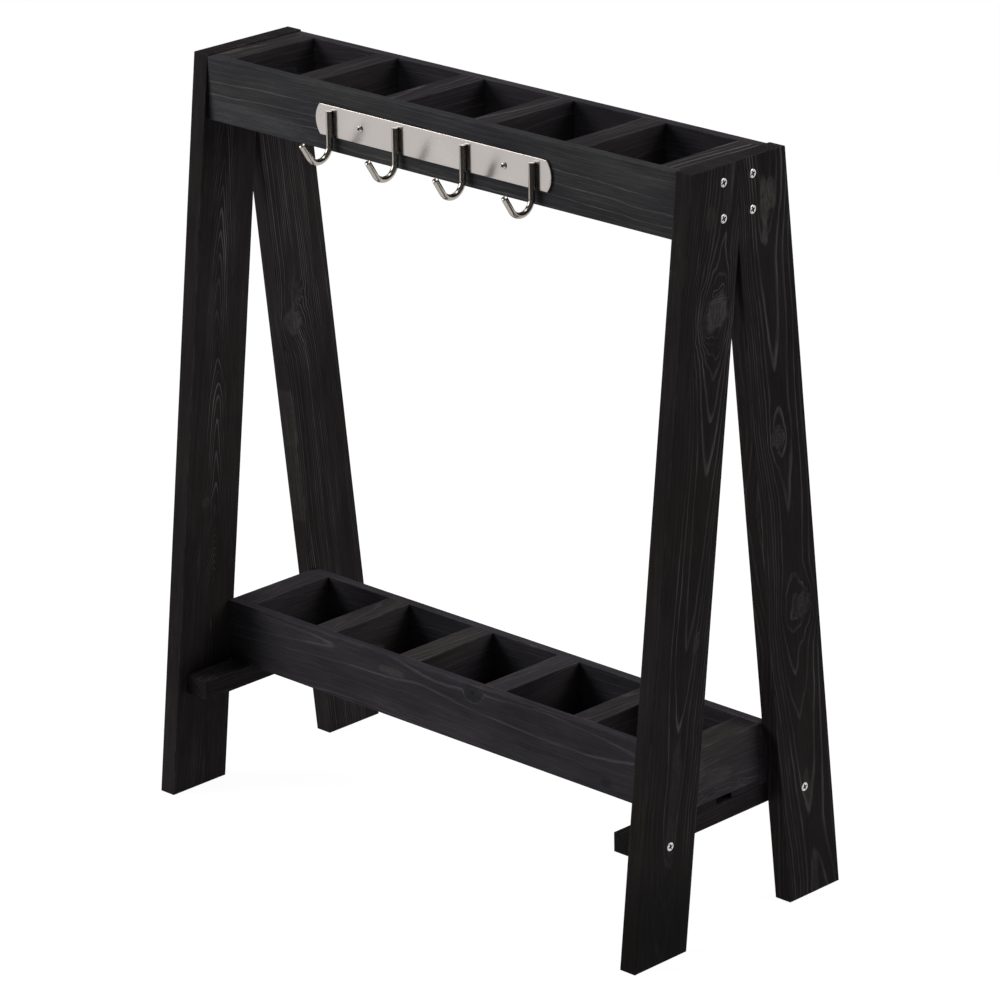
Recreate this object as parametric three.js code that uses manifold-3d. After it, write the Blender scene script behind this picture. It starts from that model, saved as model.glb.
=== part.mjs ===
// A freestanding rack for long-handled garden tools, made of black-stained softwood boards.
// Millimetres, +Z up. X runs along the rack, -Y is the side with the hooks, the feet stand at Z = 0.
import * as THREE from 'three';
import { mergeVertices } from 'three/addons/utils/BufferGeometryUtils.js';
import Module from 'manifold-3d';

// The whole rack
const rackLength = 734;
const rackHeight = 850;
const topDepth = 142;
const footDepth = 328;

// Gap left where two pieces touch, and the play round a screw in its hole
const jointGap = 0.3;
const screwPlay = 0.3;

// Legs: four splayed boards, two at each end, cut level at the top and at the feet
const legThickness = 21;
const legWidth = 80;
const legTopProud = 1.8;

// Boards of the two boxes, and the eased arris that all the planed timber has
const boardThickness = 12;
const boardHeight = 71.5;
const arris = 1.6;
const compartmentCount = 5;

// Upper box: crosswise pieces between its front and back boards
const upperCrossThickness = 32;

// Lower box: a little shorter than the room between the legs
const lowerBoxDepth = 139;
const lowerEndGap = 0.3;
const lowerEndThickness = 32;
const lowerDividerThickness = 32;

// Battens across the legs that carry the lower box, and the slats of its floor
const battenUnderside = 117.3;
const battenHeight = 22;
const battenWidth = 32;
const battenInset = 13;
const slatThickness = 6.5;
const slatWidth = 45;

// Hook rail: a steel plate with arched ends and four bent round rods
const hookCount = 4;
const hookPitch = 100;
const plateEndMargin = 24.5;
const plateEndRise = 6.5;
const plateHeight = 34.5;
const plateThickness = 2;
const plateDrop = 20;
const rodDiameter = 7;
const stemTopInset = 5;
const stemDrop = 7;
const hookBendRadius = 16.5;
const hookTipLength = 20.5;
const hookTipAngle = THREE.MathUtils.degToRad(57);

// Countersunk wood screws through the legs
const frameScrewHead = 10.5;
const frameScrewHeadHeight = 3.2;
const frameScrewShank = 5;
const frameScrewSink = 0.3;
const topScrewInset = 22;
const topScrewDrop = 17;
const topScrewPitch = 38;
const battenScrewInset = 43;

// Countersunk screws up through the battens into the lower box
const floorScrewHead = 8;
const floorScrewHeadHeight = 2.6;
const floorScrewShank = 4;

// Pan-head screws of the hook plate
const plateScrewHead = 7.5;
const plateScrewHeadHeight = 2.2;
const plateScrewShank = 3.5;

// Shares of the sizes that they follow
const screwRimShare = 0.12;
const screwTipShare = 0.8;
const recessLengthShare = 0.5;
const recessWidthShare = 0.12;
const recessDepthShare = 0.6;
const frameScrewBiteShare = 0.72;
const floorScrewBiteShare = 0.45;
const plateScrewBiteShare = 0.8;
const plateScrewShare = 1.065;

// Facets of round shapes
const screwFacets = 12;
const domeFacets = 4;
const rodFacets = 12;
const hookBendSteps = 12;
const plateArcFacets = 12;

// How far a cutter runs past the surface it opens
const cutOverrun = 2;

const stainedWood = new THREE.MeshStandardMaterial({ color: 0x262528, roughness: 0.7, metalness: 0 });
const brushedSteel = new THREE.MeshStandardMaterial({ color: 0xc8c5c1, roughness: 0.35, metalness: 1 });
const screwSteel = new THREE.MeshStandardMaterial({ color: 0xd6d6d4, roughness: 0.3, metalness: 1 });

const ends = [{ name: 'left', sign: -1 }, { name: 'right', sign: 1 }];
const faces = [{ name: 'front', sign: -1 }, { name: 'back', sign: 1 }];

// Places worked out from the sizes above
const legInnerX = rackLength / 2 - legThickness;
const legSlope = (footDepth - topDepth) / 2 / rackHeight;
const legLevelWidth = legWidth * Math.hypot(1, legSlope);
const boxTop = rackHeight - legTopProud;
const upperBoxLength = 2 * (legInnerX - jointGap);
const lowerBoxLength = 2 * (legInnerX - lowerEndGap);
const battenTop = battenUnderside + battenHeight;
const battenX = legInnerX - jointGap - battenWidth / 2;
const battenZ = battenUnderside + battenHeight / 2;
const battenHalfLength = legOuterY(battenZ) - battenInset;
const lowerBottom = battenTop + jointGap;
const lowerTop = lowerBottom + boardHeight;
const slatTop = lowerBottom + slatThickness;
const slatY = lowerBoxDepth / 2 - boardThickness - jointGap - slatWidth / 2;
const plateFace = -topDepth / 2 - jointGap - plateThickness;
const plateLength = (hookCount - 1) * hookPitch + 2 * plateEndMargin;
const plateZ = boxTop - plateDrop - plateHeight / 2;

// A path straight from knot to knot, with one ring of the rod at each knot
class KnottedPath extends THREE.Curve {
  constructor(knots) {
    super();
    this.knots = knots;
  }

  getUtoTmapping(share) {
    return share;
  }

  getPoint(share, target = new THREE.Vector3()) {
    const last = this.knots.length - 1;
    const index = Math.min(Math.floor(share * last), last - 1);
    return target.lerpVectors(this.knots[index], this.knots[index + 1], share * last - index);
  }
}

const wasm = await Module();
wasm.setup();

const rack = new THREE.Group();
buildLegs();
buildUpperBox();
buildLowerBox();
buildFloor();
buildHookRail();
buildScrews();
export default rack;

// The distances of a leg's two edges from the middle plane at a height; where the front and the
// back leg would cross, both are cut plumb and meet
function legOuterY(height) {
  return topDepth / 2 + (rackHeight - height) * legSlope;
}

function legInnerY(height) {
  return Math.max(legOuterY(height) - legLevelWidth, jointGap / 2);
}

// Every screw: its kind, where its head's top lies, which way it points and what it goes through
function listScrews() {
  const screws = [];
  const legFace = rackLength / 2 - frameScrewSink;
  for (const end of ends) {
    const inward = new THREE.Vector3(-end.sign, 0, 0);
    for (const face of faces) {
      const leg = `leg_${face.name}_${end.name}`;
      for (const level of [{ name: 'upper', drop: 0 }, { name: 'lower', drop: topScrewPitch }]) {
        const height = boxTop - topScrewDrop - level.drop;
        screws.push({
          name: `top_screw_${end.name}_${face.name}_${level.name}`,
          kind: frameScrew(upperCrossThickness),
          place: new THREE.Vector3(
            end.sign * legFace, face.sign * (legInnerY(height) + topScrewInset), height),
          direction: inward,
          through: [leg, `upper_end_board_${end.name}`],
        });
      }
      screws.push({
        name: `batten_screw_${end.name}_${face.name}`,
        kind: frameScrew(battenWidth),
        place: new THREE.Vector3(
          end.sign * legFace, face.sign * (legOuterY(battenZ) - battenScrewInset), battenZ),
        direction: inward,
        through: [leg, `batten_${end.name}`],
      });
      screws.push({
        name: `floor_screw_${end.name}_${face.name}`,
        kind: floorScrew(),
        place: new THREE.Vector3(
          end.sign * (lowerBoxLength - lowerEndThickness) / 2,
          face.sign * slatY,
          battenUnderside + frameScrewSink),
        direction: new THREE.Vector3(0, 0, 1),
        through: [`batten_${end.name}`, `floor_slat_${face.name}`, `lower_end_board_${end.name}`],
      });
    }
    screws.push({
      name: `plate_screw_${end.name}`,
      kind: plateScrew(),
      place: new THREE.Vector3(end.sign * hookPitch * plateScrewShare, plateFace - jointGap, plateZ),
      direction: new THREE.Vector3(0, 1, 0),
      through: ['hook_plate', 'upper_front_board'],
    });
  }
  return screws;
}

function frameScrew(bittenThickness) {
  return {
    head: frameScrewHead,
    headHeight: frameScrewHeadHeight,
    shank: frameScrewShank,
    length: legThickness - frameScrewSink + jointGap + bittenThickness * frameScrewBiteShare,
    domed: false,
  };
}

function floorScrew() {
  const crossHeight = lowerTop - slatTop - jointGap;
  return {
    head: floorScrewHead,
    headHeight: floorScrewHeadHeight,
    shank: floorScrewShank,
    length: slatTop + jointGap - battenUnderside - frameScrewSink + crossHeight * floorScrewBiteShare,
    domed: false,
  };
}

function plateScrew() {
  return {
    head: plateScrewHead,
    headHeight: plateScrewHeadHeight,
    shank: plateScrewShank,
    length: plateThickness + 2 * jointGap + boardThickness * plateScrewBiteShare,
    domed: true,
  };
}

// A screw's outline, its tip pointing along -Y; play widens it into its hole
function screwProfile(kind, play, above) {
  const headRadius = kind.head / 2 + play;
  const shankRadius = kind.shank / 2 + play;
  const points = [];
  if (kind.domed && play === 0) {
    for (let step = 0; step <= domeFacets; step += 1) {
      const angle = (step / domeFacets) * Math.PI / 2;
      points.push([headRadius * Math.sin(angle), kind.headHeight * Math.cos(angle)]);
    }
    points.push([shankRadius, 0]);
  } else if (kind.domed) {
    points.push([0, above], [shankRadius, above]);
  } else {
    points.push([0, above], [headRadius, above]);
    points.push([headRadius, -kind.headHeight * screwRimShare - play]);
    points.push([shankRadius, -kind.headHeight - play]);
  }
  points.push([shankRadius, kind.shank * screwTipShare - kind.length - play]);
  points.push([0, -kind.length - play]);
  return points.reverse().map(([x, y]) => new THREE.Vector2(x, y));
}

// Turns a shape made along -Y to point along a direction, and moves it to its place
function aim(geometry, place, direction) {
  const turn = new THREE.Quaternion().setFromUnitVectors(new THREE.Vector3(0, -1, 0), direction);
  geometry.applyQuaternion(turn);
  geometry.translate(place.x, place.y, place.z);
  return geometry;
}

function screwGeometry(screw) {
  const { kind } = screw;
  const body = new THREE.LatheGeometry(screwProfile(kind, 0, 0), screwFacets);
  const recess = kind.headHeight * recessDepthShare;
  const headTop = kind.domed ? kind.headHeight : 0;
  const arms = [0, Math.PI / 2].map((turn) => {
    const arm = new THREE.BoxGeometry(
      kind.head * recessLengthShare, recess + cutOverrun, kind.head * recessWidthShare);
    arm.rotateY(turn);
    arm.translate(0, headTop - recess + (recess + cutOverrun) / 2, 0);
    return arm;
  });
  return aim(cut(body, arms), screw.place, screw.direction);
}

function screwHole(screw, pieceOrigin) {
  const hole = new THREE.LatheGeometry(screwProfile(screw.kind, screwPlay, cutOverrun), screwFacets);
  return aim(hole, screw.place.clone().sub(pieceOrigin), screw.direction);
}

// Joins a geometry's shared corners and leaves out the faces that close up on the axis
function weld(geometry) {
  const bare = geometry.clone();
  bare.deleteAttribute('normal');
  bare.deleteAttribute('uv');
  const merged = mergeVertices(bare);
  const corners = merged.index.array;
  const kept = [];
  for (let i = 0; i < corners.length; i += 3) {
    const [a, b, c] = corners.slice(i, i + 3);
    if (a !== b && b !== c && c !== a) kept.push(a, b, c);
  }
  merged.setIndex(kept);
  return merged;
}

function toSolid(geometry) {
  const welded = weld(geometry);
  return new wasm.Manifold(new wasm.Mesh({
    numProp: 3,
    vertProperties: new Float32Array(welded.attributes.position.array),
    triVerts: new Uint32Array(welded.index.array),
  }));
}

function cut(geometry, cutters) {
  let solid = toSolid(geometry);
  for (const cutter of cutters) solid = solid.subtract(toSolid(cutter));
  const mesh = solid.getMesh();
  const shared = new THREE.BufferGeometry();
  shared.setAttribute('position', new THREE.BufferAttribute(mesh.vertProperties, 3));
  shared.setIndex(new THREE.BufferAttribute(mesh.triVerts, 1));
  const result = shared.toNonIndexed();
  result.computeVertexNormals();
  return result;
}

// Adds a piece at its place, with the holes of the screws that go through it
function addPiece(name, geometry, origin, material = stainedWood) {
  const holes = listScrews()
    .filter((screw) => screw.through.includes(name))
    .map((screw) => screwHole(screw, origin));
  const mesh = new THREE.Mesh(holes.length ? cut(geometry, holes) : geometry, material);
  mesh.name = name;
  mesh.position.copy(origin);
  rack.add(mesh);
}

// A closed outline drawn on the plane of two axes and pushed out along the third, centred on it
function prism(points, depth, across, up, eased = 0) {
  const outline = new THREE.Shape(points.map(([x, y]) => new THREE.Vector2(x, y)));
  const geometry = new THREE.ExtrudeGeometry(outline, {
    depth: depth - 2 * eased,
    bevelEnabled: eased > 0,
    bevelSegments: 1,
    bevelSize: eased,
    bevelThickness: eased,
    bevelOffset: -eased,
  });
  geometry.translate(0, 0, eased - depth / 2);
  const along = new THREE.Vector3().crossVectors(across, up);
  return geometry.applyMatrix4(new THREE.Matrix4().makeBasis(across, up, along));
}

// A board's section with its four arrises planed off
function easedSection(width, height) {
  const x = width / 2;
  const y = height / 2;
  return [
    [arris - x, -y], [x - arris, -y], [x, arris - y], [x, y - arris],
    [x - arris, y], [arris - x, y], [-x, y - arris], [-x, arris - y],
  ];
}

function boardAlongX(length, thickness, height) {
  return prism(easedSection(thickness, height), length,
    new THREE.Vector3(0, 1, 0), new THREE.Vector3(0, 0, 1));
}

function boardAlongY(length, thickness, height) {
  return prism(easedSection(thickness, height), length,
    new THREE.Vector3(-1, 0, 0), new THREE.Vector3(0, 0, 1));
}

// A leg's outline: level top and foot, the two splayed edges and the plumb one where the pair meets
function legOutline(sign) {
  const meetingHeight = rackHeight - (legLevelWidth + jointGap / 2 - topDepth / 2) / legSlope;
  const heights = [rackHeight, meetingHeight, 0].filter((height) => height <= rackHeight);
  const inner = heights.map((height) => [sign * legInnerY(height), height]);
  return [...inner, [sign * legOuterY(0), 0], [sign * legOuterY(rackHeight), rackHeight]];
}

function buildLegs() {
  for (const end of ends) {
    for (const face of faces) {
      const leg = prism(legOutline(face.sign), legThickness,
        new THREE.Vector3(0, 1, 0), new THREE.Vector3(0, 0, 1), arris);
      const x = end.sign * (rackLength - legThickness) / 2;
      addPiece(`leg_${face.name}_${end.name}`, leg, new THREE.Vector3(x, 0, 0));
    }
  }
}

// A box without a floor: two long boards, two end boards and the dividers between its compartments
function buildBox(box) {
  const crossLength = box.depth - 2 * (boardThickness + jointGap);
  const crossZ = (box.crossBottom + box.top) / 2;
  const crossHeight = box.top - box.crossBottom;
  for (const face of faces) {
    const board = boardAlongX(box.length, boardThickness, boardHeight);
    addPiece(`${box.name}_${face.name}_board`, board, new THREE.Vector3(
      0, face.sign * (box.depth - boardThickness) / 2, box.top - boardHeight / 2));
  }
  for (const end of ends) {
    const board = boardAlongY(crossLength, box.endThickness, crossHeight);
    addPiece(`${box.name}_end_board_${end.name}`, board, new THREE.Vector3(
      end.sign * (box.length - box.endThickness) / 2, 0, crossZ));
  }
  const dividerCount = compartmentCount - 1;
  const clearLength = box.length - 2 * box.endThickness;
  const compartment = (clearLength - dividerCount * box.dividerThickness) / compartmentCount;
  for (let i = 0; i < dividerCount; i += 1) {
    const board = boardAlongY(crossLength, box.dividerThickness, crossHeight);
    const x = (i - (dividerCount - 1) / 2) * (compartment + box.dividerThickness);
    addPiece(`${box.name}_divider_${i + 1}`, board, new THREE.Vector3(x, 0, crossZ));
  }
}

function buildUpperBox() {
  buildBox({
    name: 'upper',
    length: upperBoxLength,
    depth: topDepth,
    top: boxTop,
    crossBottom: boxTop - boardHeight,
    endThickness: upperCrossThickness,
    dividerThickness: upperCrossThickness,
  });
}

function buildLowerBox() {
  buildBox({
    name: 'lower',
    length: lowerBoxLength,
    depth: lowerBoxDepth,
    top: lowerTop,
    crossBottom: slatTop + jointGap,
    endThickness: lowerEndThickness,
    dividerThickness: lowerDividerThickness,
  });
}

// Battens screwed across each pair of legs, and two slats that lie on them as the lower box's floor
function buildFloor() {
  for (const end of ends) {
    const batten = boardAlongY(2 * battenHalfLength, battenWidth, battenHeight);
    addPiece(`batten_${end.name}`, batten, new THREE.Vector3(end.sign * battenX, 0, battenZ));
  }
  for (const face of faces) {
    const slat = boardAlongX(upperBoxLength, slatWidth, slatThickness);
    addPiece(`floor_slat_${face.name}`, slat, new THREE.Vector3(
      0, face.sign * slatY, (lowerBottom + slatTop) / 2));
  }
}

// The plate's outline: straight above and below, with a shallow arc at each end
function plateOutline() {
  const halfHeight = plateHeight / 2;
  const arcRadius = (halfHeight ** 2 + plateEndRise ** 2) / (2 * plateEndRise);
  const arcCentre = plateLength / 2 - arcRadius;
  const arcAngle = Math.asin(halfHeight / arcRadius);
  const points = [];
  for (const end of [1, -1]) {
    for (let step = 0; step <= plateArcFacets; step += 1) {
      const angle = arcAngle * (2 * step / plateArcFacets - 1);
      points.push([end * (arcCentre + arcRadius * Math.cos(angle)), end * arcRadius * Math.sin(angle)]);
    }
  }
  return points;
}

// A hook's centre line: down the plate, round the bend and up to its tip, forward being -Y
function hookKnots() {
  const bendTop = -plateHeight / 2 - stemDrop;
  const bendAngle = Math.PI / 2 + hookTipAngle;
  const knots = [new THREE.Vector3(0, 0, plateHeight / 2 - stemTopInset)];
  for (let step = 0; step <= hookBendSteps; step += 1) {
    const angle = bendAngle * step / hookBendSteps;
    knots.push(new THREE.Vector3(
      0, hookBendRadius * (Math.cos(angle) - 1), bendTop - hookBendRadius * Math.sin(angle)));
  }
  const tip = new THREE.Vector3(
    0, -hookTipLength * Math.cos(hookTipAngle), hookTipLength * Math.sin(hookTipAngle));
  knots.push(tip.add(knots[knots.length - 1]));
  return knots;
}

function buildHookRail() {
  const plate = prism(plateOutline(), plateThickness,
    new THREE.Vector3(1, 0, 0), new THREE.Vector3(0, 0, 1));
  addPiece('hook_plate', plate,
    new THREE.Vector3(0, plateFace + plateThickness / 2, plateZ), brushedSteel);
  const corners = [];
  for (let i = 0; i < rodFacets; i += 1) {
    const angle = 2 * Math.PI * i / rodFacets;
    corners.push(new THREE.Vector2(Math.cos(angle), Math.sin(angle)).multiplyScalar(rodDiameter / 2));
  }
  const section = new THREE.Shape(corners);
  const knots = hookKnots();
  for (let i = 0; i < hookCount; i += 1) {
    const hook = new THREE.ExtrudeGeometry(section, {
      steps: knots.length - 1,
      extrudePath: new KnottedPath(knots),
    });
    addPiece(`hook_${i + 1}`, hook, new THREE.Vector3(
      (i - (hookCount - 1) / 2) * hookPitch, plateFace - jointGap - rodDiameter / 2, plateZ),
    brushedSteel);
  }
}

function buildScrews() {
  for (const screw of listScrews()) {
    const material = screw.kind.domed ? brushedSteel : screwSteel;
    addPiece(screw.name, screwGeometry(screw), new THREE.Vector3(), material);
  }
}
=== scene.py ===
import math
import bpy
import bmesh
import numpy as np
from mathutils import Matrix, Vector


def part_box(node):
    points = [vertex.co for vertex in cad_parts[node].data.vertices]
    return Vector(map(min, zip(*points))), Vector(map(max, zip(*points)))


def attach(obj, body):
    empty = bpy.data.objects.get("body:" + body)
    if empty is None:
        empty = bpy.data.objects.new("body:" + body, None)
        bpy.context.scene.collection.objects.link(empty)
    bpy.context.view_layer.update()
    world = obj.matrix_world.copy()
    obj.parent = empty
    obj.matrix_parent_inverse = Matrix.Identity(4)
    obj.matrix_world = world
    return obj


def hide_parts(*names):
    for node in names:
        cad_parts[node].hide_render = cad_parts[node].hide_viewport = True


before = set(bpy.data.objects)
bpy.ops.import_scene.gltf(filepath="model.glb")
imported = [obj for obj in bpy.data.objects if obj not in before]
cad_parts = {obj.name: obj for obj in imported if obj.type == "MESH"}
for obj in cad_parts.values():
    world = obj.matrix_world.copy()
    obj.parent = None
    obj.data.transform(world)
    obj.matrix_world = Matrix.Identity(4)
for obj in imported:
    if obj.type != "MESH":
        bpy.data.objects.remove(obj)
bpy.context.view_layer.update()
print("frame loaded:", len(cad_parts), "nodes")


def linkPiece(name, data):
    piece = bpy.data.objects.new(name, data)
    bpy.context.scene.collection.objects.link(piece)
    return piece


# camera
# the long lens and the place that a fit to the photographed edges gave
cameraLook = {
    "place": (3.6782, -3.7311, 2.2985),
    "right": (0.71810, 0.69576, -0.01600),
    "up": (-0.22674, 0.25564, 0.93981),
    "lens": 184.45,  # mm
    "sensor": 36.0,  # mm wide
    "far": 60.0,  # metres to the end of sight
}


def makeCamera(look):
    right = Vector(look["right"]).normalized()
    back = right.cross(Vector(look["up"])).normalized()
    up = back.cross(right)
    lens = bpy.data.cameras.new("camera")
    lens.lens = look["lens"]
    lens.sensor_width = look["sensor"]
    lens.clip_end = look["far"]
    camera = linkPiece("camera", lens)
    turn = Matrix((right, up, back)).transposed().to_4x4()
    turn.translation = look["place"]
    camera.matrix_world = turn
    bpy.context.scene.camera = camera


makeCamera(cameraLook)
print("camera set")

# small helpers
mm = 0.001
weldDistance = 2e-6  # metres


def toLinear(hexColour):
    # sRGB hex to the linear numbers that a shader takes
    parts = [int(hexColour[i:i + 2], 16) / 255 for i in (1, 3, 5)]
    return tuple(p / 12.92 if p <= 0.04045 else ((p + 0.055) / 1.055) ** 2.4 for p in parts) + (1.0,)


def fill(tree, node, sockets):
    # a socket gets a value, or a link where it is given another node's output
    for key, value in sockets.items():
        if isinstance(value, bpy.types.NodeSocket):
            tree.links.new(value, node.inputs[key])
        else:
            node.inputs[key].default_value = value


def addNode(tree, kind, sockets=None, **settings):
    # kind is what follows ShaderNode in the node's type
    node = tree.nodes.new("ShaderNode" + kind)
    for key, value in settings.items():
        setattr(node, key, value)
    fill(tree, node, sockets or {})
    return node


def maths(tree, operation, *values):
    return addNode(tree, "Math", dict(enumerate(values)), operation=operation).outputs[0]


def times(tree, product, *factors):
    for factor in factors:
        product = maths(tree, "MULTIPLY", product, factor)
    return product


def spread(tree, value, fromLow, fromHigh, toLow, toHigh, curve="LINEAR"):
    return addNode(tree, "MapRange", {
        "Value": value, "From Min": fromLow, "From Max": fromHigh, "To Min": toLow, "To Max": toHigh},
        interpolation_type=curve).outputs[0]


def mix(tree, factor, low, high, blend="MIX"):
    return addNode(tree, "Mix", {"Factor": factor, "A": low, "B": high},
                   data_type="RGBA", blend_type=blend).outputs["Result"]


def noise(tree, where, scale, detail, roughness=0.5):
    place = addNode(tree, "Mapping", {"Vector": where, "Scale": scale}).outputs[0]
    return addNode(tree, "TexNoise", {
        "Vector": place, "Scale": 1.0, "Detail": detail, "Roughness": roughness}).outputs["Fac"]


def newMaterial(name):
    material = bpy.data.materials.new(name)
    material.use_nodes = True
    return material, material.node_tree, material.node_tree.nodes["Principled BSDF"]


rippleMake = {"waves": 11, "pitch": (0.5, 1.7), "gain": 2.2}


def ripple(points, seed, lengths):
    # smooth noise from about -1 to 1: the mean of sines with seeded directions, over the given wavelengths
    random = np.random.default_rng(seed)
    count = rippleMake["waves"]
    turns = random.normal(size=(count, points.shape[1]))
    turns *= random.uniform(*rippleMake["pitch"], (count, 1)) / np.linalg.norm(turns, axis=1)[:, None]
    phase = random.uniform(0, 2 * np.pi, count)
    waves = np.sin(2 * np.pi * (points / np.asarray(lengths, float)) @ turns.T + phase)
    return waves.mean(axis=1) * rippleMake["gain"]


def smoothStep(low, high, x):
    t = np.clip((x - low) / (high - low), 0, 1)
    return t * t * (3 - 2 * t)


def bell(x, width):
    return np.exp(-0.5 * (x / width) ** 2)


def softTable(places, values, x, blur):
    # a table read along x, with its corners rounded by a bell curve of the blur's width
    samples, margin, span = 800, 4, 3  # points of the grid; its margins and the curve's reach in blurs
    grid = np.linspace(places[0] - margin * blur, places[-1] + margin * blur, samples)
    step = grid[1] - grid[0]
    reach = int(span * blur / step) + 1
    kernel = bell(np.arange(-reach, reach + 1) * step, blur)
    padded = np.pad(np.interp(grid, places, values), reach, mode="edge")
    return np.interp(x, grid, np.convolve(padded, kernel / kernel.sum(), mode="valid"))


def meshFromLoops(name, loops):
    # loops is (n, m, 3): n closed loops of m points; quads join them, and the first and the last loop
    # have shrunk to a line or a point, so merging their doubles closes the skin
    n, m = loops.shape[:2]
    row, column = np.meshgrid(np.arange(n - 1), np.arange(m), indexing="ij")
    after = (column + 1) % m
    quads = np.stack([row * m + column, row * m + after,
                      (row + 1) * m + after, (row + 1) * m + column], axis=-1).reshape(-1, 4)
    points = loops.reshape(-1, 3)
    corner = points[quads]
    cross = np.cross(corner[:, 1], corner[:, 2]) + np.cross(corner[:, 2], corner[:, 3])
    if np.sum(corner[:, 0] * cross) < 0:  # the faces would look inwards
        quads = quads[:, ::-1]
    mesh = bpy.data.meshes.new(name)
    mesh.from_pydata(points.tolist(), [], quads.tolist())
    tidy = bmesh.new()
    tidy.from_mesh(mesh)
    bmesh.ops.remove_doubles(tidy, verts=tidy.verts, dist=weldDistance)
    tidy.to_mesh(mesh)
    tidy.free()
    return mesh


def othersThan(axis):
    return [i for i in range(3) if i != axis]


def standIn(piece, node, material, sharpAngle=35):
    # the piece takes the CAD node's place, rides with the rack and gets its finish
    piece.data.materials.clear()
    piece.data.materials.append(material)
    piece.data.shade_smooth()
    piece.data.set_sharp_from_angle(angle=math.radians(sharpAngle))
    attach(piece, "root")
    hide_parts(node)


def pointsOf(mesh):
    flat = np.empty(len(mesh.vertices) * 3, np.float32)
    mesh.vertices.foreach_get("co", flat)
    return flat.reshape(-1, 3).astype(float)


def setAttribute(mesh, name, kind, values):
    layer = mesh.attributes.new(name, kind, "POINT")
    key = "vector" if kind == "FLOAT_VECTOR" else "value"
    layer.data.foreach_set(key, np.ascontiguousarray(values, np.float32).ravel())


# stained pine
# Planed pine under a thin black stain. The dense late wood of each year's ring takes less of it, so the
# rings show as fine paler lines on near-black, with a low satin shine that is stronger on the late wood.
pineLook = {  # colours: the ground, its other tint, late wood, pale marks, olive marks
    "legs": {
        "colours": ("#1E1B1D", "#1E1C1B", "#4B4648", "#4A4647", "#48473F"),
        "roughness": 0.60, "lineShare": 0.26, "yearPower": 0.9, "fibre": 0.18},
    "longBoards": {
        "colours": ("#312F33", "#333034", "#5C595D", "#565456", "#54534B"),
        "roughness": 0.56, "lineShare": 0.14, "yearPower": 3.2, "fibre": 0.15},
    "upperFront": {
        "colours": ("#313134", "#333334", "#5C5C5E", "#56575A", "#54544D"),
        "roughness": 0.56, "lineShare": 0.14, "yearPower": 3.2, "fibre": 0.15},
    "crossPieces": {
        "colours": ("#2D2A2D", "#2E2B2B", "#545053", "#555254", "#504F47"),
        "roughness": 0.60, "lineShare": 0.18, "yearPower": 1.8, "fibre": 0.18},
}

# the patterns in the stain: cycles per mm along, across and through the board, the noise's detail and
# roughness
pineNoise = {
    "waver": ((0.04, 0.22, 0.22), 3.0, 0.55),  # of the rings, about 25 mm long and 4 mm wide
    "fade": ((0.011, 0.06, 0.06), 2.0),  # of the lines, over about 90 mm
    "fibre": ((0.05, 1.7, 1.7), 3.0, 0.6),  # 0.6 mm wide
    "streak": ((0.016, 0.5, 0.5), 4.0, 0.6),  # 2 mm wide
    "patch": ((0.012, 0.04, 0.04), 5.0, 0.6),  # where the stain lies thicker
    "mottle": ((0.16, 0.35, 0.35), 5.0, 0.7),  # of the pale marks
    "tint": ((0.006, 0.02, 0.02), 2.0),  # from the ground to its other tint
    "wear": ((0.05, 0.05, 0.05), 5.0),  # of the arrises
}
# from which two values of a noise to which two results it is spread
pineSpread = {
    "fade": (0.36, 0.62, 0.30, 1.0), "patch": (0.3, 0.7, 0.80, 1.20), "mottle": (0.32, 0.66, 0.35, 1.15),
    "tint": (0.42, 0.58, 0.0, 1.0), "wear": (0.40, 0.66, 0.0, 0.55),
}
yearMake = {
    "waver": 0.46,  # of the rings, in years
    "narrow": 1.2, "wide": 3.0,  # the least and greatest width of a line, in line shares
    "flat": 0.45,  # the power by which lines narrow where the rings are cut flat
    "end": 0.95, "fall": 0.945,  # where in the year a line ends
    "faint": 0.16,  # the faintest year's line
}
stain = {
    "proud": 0.00006,  # metres that the late wood stands out
    "relief": 0.8, "fibreHeight": 0.35,
    "lateShine": 0.12, "ior": 1.5,
    "specular": 0.03,  # the fibres stay open and eat the light
    "darkKnot": 0.30, "fibreDark": 1.2, "streakDark": 1.7,
}


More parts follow.
